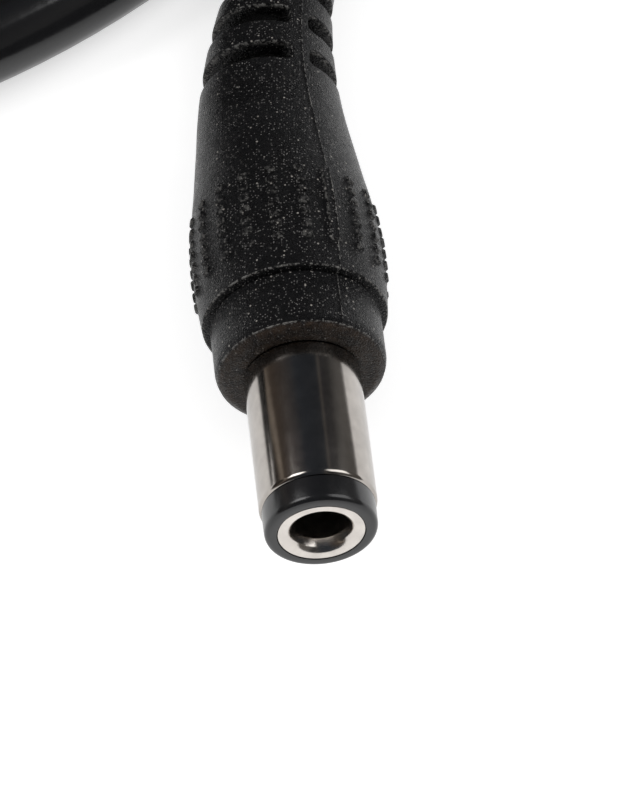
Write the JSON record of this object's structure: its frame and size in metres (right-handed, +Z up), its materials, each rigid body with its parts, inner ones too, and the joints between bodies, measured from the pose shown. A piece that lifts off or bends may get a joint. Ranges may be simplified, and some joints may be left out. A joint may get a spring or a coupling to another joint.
{
  "type": "laptop power adapter",
  "caption": "Sealed mains power brick with a mains inlet, and a coiled low-voltage lead that ends in a round barrel plug.",
  "frame": {"origin": "middle of the brick's underside, on the surface that its feet rest on", "axes": "+Z up; +X along the brick from the mains inlet to the low-voltage lead; the coil and plug lie towards -Y"},
  "size_m": [0.1766, 0.1744, 0.03],
  "materials": {
    "case_plastic": "fine satin texture",
    "inlet_plastic": "satin",
    "grip_plastic": "fine matte texture",
    "cord_jacket": "smooth gloss",
    "tip_plastic": "polished black",
    "core_plastic": "natural white",
    "nickel": "bright nickel plate",
    "pin_metal": "nickel-plated brass",
    "foot_rubber": "matte",
    "label_film": "plain satin film",
    "clear_plastic": "clear",
    "board_laminate": "green solder mask",
    "sheet_film": "translucent film",
    "aluminium_sheet": "mill finish",
    "ferrite": "ground ferrite",
    "copper_wire": "enamelled copper",
    "yellow_tape": "polyester tape",
    "black_epoxy": "moulded epoxy",
    "blue_coat": "dipped coating",
    "green_coat": "dipped coating",
    "yellow_box": "moulded box",
    "can_sleeve": "shrunk sleeve",
    "wire_insulation": "insulation",
    "thermal_silicone": "soft pad",
    "led_resin": "tinted resin"
  },
  "bodies": {
    "root": {"case_bottom_shell": "case_plastic", "case_top_shell": "case_plastic", "rubber_feet": "foot_rubber", "blank_label": "label_film", "inlet_line_pin": "pin_metal", "inlet_neutral_pin": "pin_metal", "inlet_earth_pin": "pin_metal", "inlet_body": "inlet_plastic", "circuit_board": "board_laminate", "insulation_sheet": "sheet_film", "heat_spreader": "aluminium_sheet", "fuse": "black_epoxy", "varistor": "blue_coat", "thermistor": "green_coat", "mains_filter_capacitor": "yellow_box", "choke_core": "ferrite", "choke_windings": "copper_wire", "bridge_rectifier": "black_epoxy", "bulk_capacitor": "can_sleeve", "controller_chip": "black_epoxy", "primary_heatsink": "aluminium_sheet", "switching_transistor": "black_epoxy", "transformer_core": "ferrite", "transformer_bobbin": "black_epoxy", "transformer_windings": "yellow_tape", "thermal_pad": "thermal_silicone", "safety_capacitor": "blue_coat", "optocoupler": "black_epoxy", "output_choke": "ferrite", "output_capacitors": "can_sleeve", "status_led": "led_resin", "light_pipe": "clear_plastic", "secondary_heatsink": "aluminium_sheet", "output_rectifier": "black_epoxy", "mains_leads": "wire_insulation", "output_leads": "wire_insulation", "cord_gland": "grip_plastic", "lead_coil": "cord_jacket", "lead_tail": "cord_jacket", "lead_stretch": "cord_jacket", "plug_sleeve": "nickel", "plug_insulator": "tip_plastic", "plug_centre_contact": "nickel", "plug_inner_mould": "core_plastic", "plug_wires": "copper_wire", "plug_grip": "grip_plastic"}
  },
  "joints": []
}
